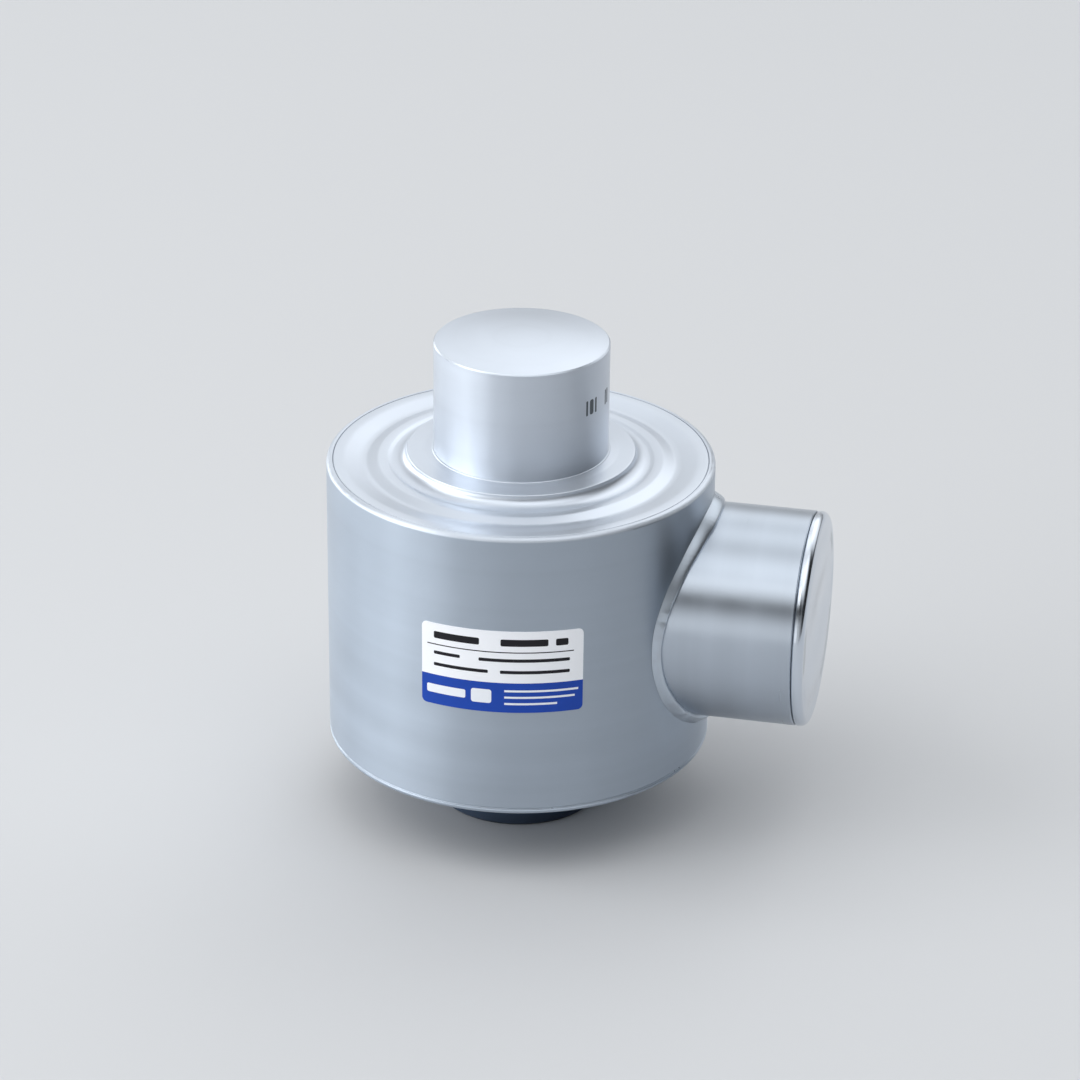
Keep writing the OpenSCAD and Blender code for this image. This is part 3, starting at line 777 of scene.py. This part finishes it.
@dataclass
class WeldBead:
    """The fillet weld round the saddle joint of casing and side housing, with its ripples and stops."""

    casing_r: float = 44.53
    housing_r: float = 24.78
    axis_z: float = 52.2
    bead_r: float = 2.4
    crown: float = 0.42
    lip: float = 0.2
    bow_powers: Point = (1.2, 0.35)
    bow_scale: float = 2.29
    ripple_pitch: float = 1.25
    ripple_depth: float = 0.006
    ripple_lean: float = 0.35
    wander: tuple[tuple[float, float, float], ...] = ((0.03, 7.0, 0.6), (0.02, 17.0, 2.0))
    stop_turns: Point = (161.0, 228.0)
    stop_height: float = 0.4
    stop_rise: Point = (-2.2, 2.4)
    stop_dip: Point = (1.8, 1.6)
    round_steps: int = 540
    section_steps: int = 20
    merge_gap: float = 0.01
    smooth_angle: float = 50.0

    def saddle(self, radius: float, turn: float) -> Vector:
        """Where a line along the housing at a radius and turn meets the casing's side."""
        y = radius * math.cos(turn)
        return Vector((math.sqrt(self.casing_r ** 2 - y * y), y, self.axis_z + radius * math.sin(turn)))

    def leg(self, turn: float) -> float:
        """Length of the fillet's legs, from the angle between the two faces and the welder's hand."""
        uneven = 1.0
        for share, waves, start in self.wander:
            uneven += share * math.sin(waves * turn + start)
        half_angle = math.acos(self.housing_r * math.cos(turn) ** 2 / self.casing_r) / 2
        return self.bead_r * math.tan(half_angle) * uneven

    def stop_lump(self, turn: float) -> float:
        """How much the bead swells and then dips where one run of weld ends on the next."""
        lump = 0.0
        for stop in self.stop_turns:
            away = (math.degrees(turn) - stop + 180) % 360 - 180
            for sign, (place, width) in ((1, self.stop_rise), (-1, self.stop_dip)):
                lump += sign * self.stop_height * math.exp(-((away - place) / width) ** 2)
        return lump

    def section_point(self, turn: float, step: int, way: float) -> Vector:
        """One point of the bead's closed section.

        Args:
            turn: Angle round the housing's axis.
            step: Number of the point in the section.
            way: Distance travelled along the joint.

        Returns:
            The point in millimetres.
        """
        leg = self.leg(turn)
        root = self.saddle(self.housing_r, turn)
        casing_edge = self.saddle(self.housing_r + leg, turn)
        housing_edge = root + Vector((leg, 0, 0))
        if step == 0:
            return root
        if step == self.section_steps - 1:
            return housing_edge
        share = (step - 1) / (self.section_steps - 3)
        middle = (casing_edge + housing_edge) / 2
        out = (middle - root).normalized()
        bow = self.bow_scale * share ** self.bow_powers[0] * (1 - share) ** self.bow_powers[1]
        ripple = math.sin(FULL_TURN * (way / self.ripple_pitch + self.ripple_lean * bow))
        height = self.crown * (1 + self.stop_lump(turn)) + self.ripple_depth * ripple
        lip = Vector((0, math.cos(turn), math.sin(turn))) * self.lip * share
        return casing_edge.lerp(housing_edge, share) + lip + out * height * bow

    def travelled(self) -> list[float]:
        """The distance along the joint at each step round it, in millimetres."""
        ways = [0.0]
        for i in range(1, self.round_steps):
            here = self.saddle(self.housing_r, FULL_TURN * i / self.round_steps)
            last = self.saddle(self.housing_r, FULL_TURN * (i - 1) / self.round_steps)
            ways.append(ways[-1] + (here - last).length)
        return ways

    def build(self, material: Material) -> Piece:
        """Models the bead from a ring that is spun round the housing and laid into the joint.

        Args:
            material: The weld metal.

        Returns:
            The bead.
        """
        clear_selection()
        start = (0, self.housing_r * MM, self.axis_z * MM)
        bpy.ops.mesh.primitive_circle_add(
            vertices=self.section_steps, radius=self.bead_r * MM, location=start)
        piece = bpy.context.object
        bpy.ops.object.transform_apply(location=True, rotation=True, scale=True)
        bpy.ops.object.mode_set(mode="EDIT")
        select_mesh()
        centre = (0, 0, self.axis_z * MM)
        bpy.ops.mesh.spin(steps=self.round_steps, angle=FULL_TURN, center=centre, axis=(1, 0, 0))
        select_mesh()
        bpy.ops.mesh.remove_doubles(threshold=self.merge_gap * MM)
        bpy.ops.object.mode_set(mode="OBJECT")
        ways = self.travelled()
        for vertex in piece.data.vertices:
            x, y, z = vertex.co / MM
            z -= self.axis_z
            number = round(math.atan2(z, y) / FULL_TURN * self.round_steps) % self.round_steps
            lean = math.atan2(math.hypot(y, z) - self.housing_r, x)
            step = round(lean / FULL_TURN * self.section_steps) % self.section_steps
            turn = FULL_TURN * number / self.round_steps
            vertex.co = self.section_point(turn, step, ways[number]) * MM
        activate(piece)
        bpy.ops.object.mode_set(mode="EDIT")
        close_edit(self.smooth_angle)
        piece.data.materials.append(material)
        finish_piece(piece, "weld_bead", ("housing_weld",))
        return piece


@dataclass(frozen=True)
class Field:
    """A rectangle on a wrapped sheet, in millimetres from the sheet's middle."""

    across: float
    up: float
    width: float
    height: float
    corner: float = 0.0


@dataclass(frozen=True)
class WrappedSheet:
    """A flat sheet that is modelled lying and then bent round the upright axis.

    The angle is in degrees, and strip is the width of the strips that its pieces are cut into to bend.
    """

    radius: float
    angle: float
    middle_z: float
    strip: float = 1.0
    corner_steps: int = 6

    def lay(self, field: Field, thickness: float, cuts: tuple[float, ...] = ()) -> Piece:
        """Models one field of the sheet, still flat.

        Args:
            field: Its place and size.
            thickness: How far it stands off.
            cuts: Heights at which its faces are cut through.

        Returns:
            The flat piece, cut into strips that can bend.
        """
        clear_selection()
        bpy.ops.mesh.primitive_plane_add(size=1.0, location=(0, 0, 0))
        piece = bpy.context.object
        bpy.ops.object.mode_set(mode="EDIT")
        select_mesh()
        bpy.ops.transform.resize(value=(field.width, field.height, 1.0))
        bpy.ops.transform.translate(value=(field.across, field.up, 0.0))
        if field.corner:
            bpy.ops.mesh.bevel(offset=field.corner, offset_type="OFFSET", segments=self.corner_steps,
                               affect="VERTICES")
        count = max(int(field.width / self.strip), 1)
        for i in range(1, count):
            x = field.across - field.width / 2 + field.width * i / count
            select_mesh()
            bpy.ops.mesh.bisect(plane_co=(x, 0, 0), plane_no=(1, 0, 0))
        for height in cuts:
            select_mesh()
            bpy.ops.mesh.bisect(plane_co=(0, height, 0), plane_no=(0, 1, 0))
        select_mesh()
        bpy.ops.mesh.extrude_region_move(TRANSFORM_OT_translate={"value": (0, 0, thickness)})
        close_edit()
        return piece

    def wrap(self, piece: Piece, lift: float = 0.0) -> None:
        """Bends a flat piece round the upright axis.

        Args:
            piece: The flat piece, in millimetres.
            lift: Distance of its inner face from the sheet's radius.
        """
        for vertex in piece.data.vertices:
            across, up, out = vertex.co
            turn = math.radians(self.angle) + across / self.radius
            radius = self.radius + lift + out
            vertex.co = Vector((radius * math.cos(turn), radius * math.sin(turn), self.middle_z + up)) * MM

    def lay_group(self, fields: tuple[Field, ...], thickness: float, lift: float, finish: Finish) -> Piece:
        """Models several fields as one bent piece.

        Args:
            fields: Their places and sizes.
            thickness: How far they stand off.
            lift: Distance of their inner faces from the sheet's radius.
            finish: Their finish.

        Returns:
            The bent piece, still without a name.
        """
        pieces = [self.lay(field, thickness) for field in fields]
        activate(pieces[0])
        for piece in pieces[1:]:
            piece.select_set(True)
        bpy.ops.object.join()
        joined = bpy.context.object
        self.wrap(joined, lift)
        joined.data.materials.append(finish.build())
        return joined


@dataclass
class Label:
    """The film label on the casing: a white field over a blue band, a rule, and plain bars and shapes."""

    sheet: WrappedSheet = WrappedSheet(radius=44.5, angle=-82.9, middle_z=53.2)
    width: float = 37.0
    height: float = 20.2
    corner: float = 1.2
    thickness: float = 0.15
    band_h: float = 7.4
    ink: float = 0.012

    FILM = Coating("label_film_white", (0.93, 0.95, 0.99), 0.4, 0.008, grain_depth=0.001, specular=0.3)
    BAND = Coating("label_band_blue", (0.012, 0.062, 0.4), 0.4, 0.04, grain_depth=0.001, specular=0.2)
    BLACK = Coating("label_ink_black", (0.012, 0.012, 0.016), 0.4, 0.1, grain_depth=0.001, specular=0.2)
    WHITE = Coating("label_ink_white", (0.87, 0.9, 0.95), 0.4, 0.02, grain_depth=0.001, specular=0.3)
    BLACK_BARS = (
        Field(-0.4, 4.9, 33.4, 0.26),
        Field(-10.2, 7.3, 10.6, 1.7, 0.35),
        Field(5.2, 7.3, 10.6, 1.7, 0.35),
        Field(13.6, 7.3, 2.8, 1.7, 0.35),
        Field(-12.4, 2.9, 6.2, 0.8, 0.25),
        Field(5.2, 2.9, 20.4, 0.8, 0.25),
        Field(-9.2, 0.0, 12.6, 0.8, 0.25),
        Field(7.6, 0.0, 15.6, 0.8, 0.25),
    )
    WHITE_BARS = (
        Field(-12.6, -6.2, 9.2, 2.1, 0.4),
        Field(-4.4, -6.2, 4.6, 3.4, 0.6),
        Field(9.1, -4.7, 16.6, 0.5),
        Field(8.7, -6.3, 15.8, 0.5),
        Field(6.7, -7.9, 11.8, 0.5),
    )

    def build_film(self) -> Piece:
        """Models the film with its two colour fields.

        Returns:
            The film.
        """
        border = self.band_h - self.height / 2
        field = Field(0, 0, self.width, self.height, self.corner)
        piece = self.sheet.lay(field, self.thickness, cuts=(border,))
        piece.data.materials.append(self.FILM.build())
        piece.data.materials.append(self.BAND.build())
        for face in piece.data.polygons:
            faces_out = face.normal.z > 0.5
            if faces_out and face.center.y < border:
                face.material_index = 1
        self.sheet.wrap(piece)
        finish_piece(piece, "label_film", ("label",))
        return piece

    def build_print(self, name: str, bars: tuple[Field, ...], ink: Coating) -> Piece:
        """Models a group of printed bars in one ink.

        Args:
            name: The piece's name.
            bars: The bars.
            ink: Their ink.

        Returns:
            The bars as one piece.
        """
        piece = self.sheet.lay_group(bars, self.ink, self.thickness, ink)
        finish_piece(piece, name)
        return piece

    def build(self) -> None:
        """Models the film and its print."""
        self.build_film()
        self.build_print("label_bars_black", self.BLACK_BARS, self.BLACK)
        self.build_print("label_bars_white", self.WHITE_BARS, self.WHITE)


@dataclass
class EtchedMarks:
    """The small etched marks on the load button's side: plain ticks."""

    sheet: WrappedSheet = WrappedSheet(radius=20.0, angle=-25.5, middle_z=103.6, strip=0.5)
    thickness: float = 0.012

    ETCH = Coating("etched_grey", (0.1, 0.115, 0.13), 0.5, metallic=0.6, grain_depth=0.004)
    TICKS = (
        Field(-1.7, 0.0, 0.6, 3.6, 0.2),
        Field(-0.1, 0.0, 1.3, 3.6, 0.5),
        Field(1.5, 0.0, 0.6, 3.6, 0.2),
        Field(6.4, 0.0, 0.6, 3.6, 0.2),
        Field(7.6, 0.0, 0.6, 3.6, 0.2),
    )

    def build(self) -> Piece:
        """Models the ticks as thin dull patches on the steel.

        Returns:
            The ticks as one piece.
        """
        piece = self.sheet.lay_group(self.TICKS, self.thickness, 0.0, self.ETCH)
        finish_piece(piece, "button_marks")
        return piece


@dataclass(frozen=True)
class SkyLobe:
    """A soft bright area of the room, as a large silk or a white wall gives it.

    The turn is in degrees to the right of the camera's side, the lift in degrees above the floor.
    """

    turn: float
    lift: float
    spread: float
    level: float


@dataclass(frozen=True)
class Softbox:
    """A square softbox that faces the cell. Its size and distance are in metres, and level 1 is white."""

    name: str
    turn: float
    lift: float
    size: float
    level: float
    distance: float = 1.6


@dataclass
class Studio:
    """Camera, pale floor and soft light round the load cell.

    Lengths are in millimetres, and the floor's size is in metres.
    """

    azimuth: float = 12.03
    elevation: float = 25.554
    roll: float = -0.627
    distance: float = 888.6
    aim_right: float = 4.547
    aim_z: float = 64.55
    lens: float = 128.22
    sensor_w: float = 36.0
    view_start: float = 20.0
    view_end: float = 60000.0
    lamp_aim_z: float = 50.0
    floor_size: float = 9.0
    floor_z: float = -0.05
    floor_colour: Colour = (0.6, 0.61, 0.625)
    floor_tone: float = 0.995
    floor_clouds_per_m: float = 2.0
    floor_roughness: float = 0.75
    floor_specular: float = 0.2
    room_colour: Colour = (0.97, 0.985, 1.0)
    room_level: float = 0.02

    LOBES = (
        SkyLobe(-135.0, 0.0, 24.0, 4.2),
        SkyLobe(-110.0, 0.0, 24.0, 3.4),
        SkyLobe(-85.0, 0.0, 24.0, 3.0),
        SkyLobe(-60.0, 5.0, 28.0, 2.6),
        SkyLobe(-35.0, 5.0, 28.0, 0.9),
        SkyLobe(-10.0, 5.0, 28.0, 0.5),
        SkyLobe(20.0, 5.0, 28.0, 0.35),
        SkyLobe(-85.0, 15.0, 48.0, 0.55),
        SkyLobe(-70.0, 30.0, 44.0, 0.2),
        SkyLobe(140.0, 32.0, 34.0, 1.35),
        SkyLobe(-175.0, 14.0, 40.0, 0.55),
        SkyLobe(178.0, 46.0, 38.0, 0.82),
        SkyLobe(-30.0, 62.0, 32.0, 0.5),
        SkyLobe(45.0, 58.0, 34.0, 0.85),
        SkyLobe(0.0, 90.0, 50.0, 1.05),
    )
    SOFTBOXES = (
        Softbox("key_softbox", -84.0, 42.0, 1.1, 1.9),
        Softbox("front_softbox", -25.0, 48.0, 0.5, 1.2),
    )

    def toward(self, turn: float, lift: float) -> Vector:
        """The direction to something at a turn from the camera's side, rightwards, and a height angle."""
        a = math.radians(self.azimuth + turn)
        e = math.radians(lift)
        return Vector((math.sin(a) * math.cos(e), -math.cos(a) * math.cos(e), math.sin(e)))

    def place_camera(self) -> None:
        """Puts the camera where the view is the same as in the picture."""
        a = math.radians(self.azimuth)
        back = self.toward(0.0, self.elevation)
        right = Vector((math.cos(a), math.sin(a), 0.0))
        up = back.cross(right)
        roll = math.radians(self.roll)
        across = math.cos(roll) * right - math.sin(roll) * up
        upward = math.sin(roll) * right + math.cos(roll) * up
        place = right * self.aim_right + Vector((0, 0, self.aim_z)) + back * self.distance
        data = bpy.data.cameras.new("studio_camera")
        data.lens = self.lens
        data.sensor_width = self.sensor_w
        data.clip_start = self.view_start * MM
        data.clip_end = self.view_end * MM
        camera = bpy.data.objects.new("studio_camera", data)
        bpy.context.scene.collection.objects.link(camera)
        turned = Matrix((across, upward, back)).transposed().to_4x4()
        camera.matrix_world = Matrix.Translation(place * MM) @ turned
        bpy.context.scene.camera = camera

    def lay_floor(self) -> None:
        """Lays the pale floor just under the foot."""
        clear_selection()
        bpy.ops.mesh.primitive_plane_add(size=self.floor_size, location=(0, 0, self.floor_z * MM))
        floor = bpy.context.object
        floor.name = "floor"
        material, board = new_material("pale_floor")
        mottle = board.spread(board.noise(board.place(), self.floor_clouds_per_m, 2.0), NOISE_SPAN)
        darker = tuple(c * self.floor_tone for c in self.floor_colour)
        board.surface(Base_Color=board.blend(mottle, darker, self.floor_colour),
                      Roughness=self.floor_roughness, Specular_IOR_Level=self.floor_specular)
        floor.data.materials.append(material)

    def hang_softbox(self, box: Softbox) -> None:
        """Hangs a softbox that faces the cell's middle.

        Args:
            box: The softbox.
        """
        data = bpy.data.lights.new(box.name, "AREA")
        data.shape = "SQUARE"
        data.size = box.size
        data.energy = math.pi * box.size * box.size * box.level
        lamp = bpy.data.objects.new(box.name, data)
        bpy.context.scene.collection.objects.link(lamp)
        back = self.toward(box.turn, box.lift)
        lamp.location = Vector((0, 0, self.lamp_aim_z * MM)) + back * box.distance
        lamp.rotation_mode = "QUATERNION"
        lamp.rotation_quaternion = (-back).to_track_quat("-Z", "Y")

    def light_room(self) -> None:
        """Makes the room: soft bright areas over a plain dim grey."""
        world = bpy.data.worlds.new("studio_room")
        world.use_nodes = True
        board = NodeBoard(world.node_tree)
        way = board.add("ShaderNodeTexCoord").outputs["Generated"]
        level: object = self.room_level
        for lobe in self.LOBES:
            toward = board.vector("DOT_PRODUCT", way, self.toward(lobe.turn, lobe.lift)).outputs["Value"]
            edge = math.cos(math.radians(lobe.spread))
            glow = board.spread(toward, (edge, 1.0), (0.0, lobe.level), smooth=True)
            level = board.math("ADD", glow, level)
        background = board.add("ShaderNodeBackground")
        board.plug(self.room_colour, background.inputs["Color"])
        board.plug(level, background.inputs["Strength"])
        output = board.add("ShaderNodeOutputWorld")
        board.tree.links.new(background.outputs[0], output.inputs[0])
        bpy.context.scene.world = world

    def build(self) -> None:
        """Sets up camera, floor, room and softboxes."""
        self.place_camera()
        self.lay_floor()
        self.light_room()
        for box in self.SOFTBOXES:
            self.hang_softbox(box)
        bpy.context.scene.view_settings.view_transform = "Standard"


@dataclass
class Cell:
    """The load cell's finishes, node by node, and its added pieces."""

    steel: Colour = (0.63, 0.68, 0.75)
    # The housing, casing and base steels are darker than the plain steel: painted shade for their darker
    # walls.
    housing_painted_shade_steel: Colour = (0.455, 0.505, 0.57)
    walls_painted_shade_steel: Colour = (0.44, 0.5, 0.575)
    button_steel: Colour = (0.61, 0.66, 0.73)
    cover_steel: Colour = (0.6, 0.65, 0.72)
    # The foot's dark colour is painted shade: it is the column's steel, darkened for the shadow under the
    # casing.
    foot_steel_painted_shade: Colour = (0.058, 0.08, 0.12)
    # The rim seam's two colours are painted shade: the joint is darkened to stand for the shade in it.
    seam: Colour = (0.26, 0.3, 0.37)
    seam_shade_tint: Colour = (0.17, 0.19, 0.23)

    def dress_shell(self) -> None:
        """Dresses the turned and welded steel parts that show."""
        # The casing's wall is painted darker as painted shade; above 84.85 mm its rim keeps the cover's
        # lighter steel.
        dress(("casing",),
              TurnedSteel("casing_steel", self.walls_painted_shade_steel, 0.4, anisotropy=0.85, rim_from=84.85))
        dress(("column",),
              TurnedSteel("button_steel", self.button_steel, 0.38, metallic=0.9, anisotropy=0.8,
                          lapped_from=114.2))
        # The base plate has the casing's painted-shade steel.
        dress(("base_plate",),
              TurnedSteel("base_steel", self.walls_painted_shade_steel, 0.4))
        # The side housing's tube is painted darker as painted shade.
        dress(("side_housing",),
              TurnedSteel("housing_steel", self.housing_painted_shade_steel, 0.3, Axis.HOUSING, anisotropy=0.4))
        dress(("end_cap",),
              TurnedSteel("cap_steel", self.steel, 0.17, Axis.HOUSING, anisotropy=0.3, swell_depth=0.35))
        dress(("gland_body", "gland_nut"),
              TurnedSteel("gland_steel", self.steel, 0.25, Axis.GLAND, anisotropy=0.5))
        # The foot is painted dark as painted shade for the shadow under the casing.
        dress(("foot",),
              TurnedSteel("foot_steel_painted_shade", self.foot_steel_painted_shade, 0.42, tone_range=0.2))

    def dress_inside(self) -> None:
        """Dresses the parts that the shell hides, and the gland's rubber."""
        dress(("gauge_right", "gauge_rear", "gauge_left", "gauge_front"),
              Coating("gauge_film", (0.48, 0.19, 0.022), 0.3, coat=0.6))
        dress(("bridge_board", "terminal_board"),
              Coating("board_lacquer", (0.012, 0.09, 0.035), 0.35, coat=0.5))
        dress(("gauge_terminals", "board_spacers", "board_screws", "feedthrough_shell", "feedthrough_pins",
               "cable_terminals"),
              Coating("tinned_metal", (0.62, 0.64, 0.66), 0.3, metallic=1.0))
        dress(("trim_resistors",),
              Coating("resistor_coat", (0.012, 0.012, 0.014), 0.4))
        dress(("gauge_leads",),
              Coating("red_enamel", (0.32, 0.013, 0.009), 0.3, coat=0.5))
        dress(("bridge_leads",),
              Coating("blue_enamel", (0.01, 0.022, 0.21), 0.3, coat=0.5))
        dress(("gland_washer", "gland_grommet"),
              Coating("moulded_rubber", (0.012, 0.012, 0.014), 0.62, grain_depth=0.03))
        dress(("feedthrough_glass",),
              SealingGlass("sealing_glass"))

    def add_details(self) -> None:
        """Adds the cover, the weld seams, the label and the etched marks."""
        satin = TurnedSteel("cover_steel", self.cover_steel, 0.33, metallic=0.65, anisotropy=0.1)
        TopCover().build(satin.build())
        # The rim seam is painted dark as painted shade in the joint between cover and rim.
        RimSeam().build(WeldSteel("seam_painted_shade_metal", self.seam, self.seam_shade_tint).build())
        weld_metal = WeldSteel("weld_metal").build()
        BaseSeam().build(weld_metal)
        WeldBead().build(weld_metal)
        Label().build()
        EtchedMarks().build()

    def build(self) -> None:
        """Dresses the whole cell."""
        self.dress_shell()
        self.dress_inside()
        self.add_details()


def main() -> None:
    """Builds the studio and the cell in order."""
    logging.basicConfig(level=logging.INFO, format="%(name)s: %(message)s")
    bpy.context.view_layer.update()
    Studio().build()
    Cell().build()


if __name__ == "__main__":
    main()
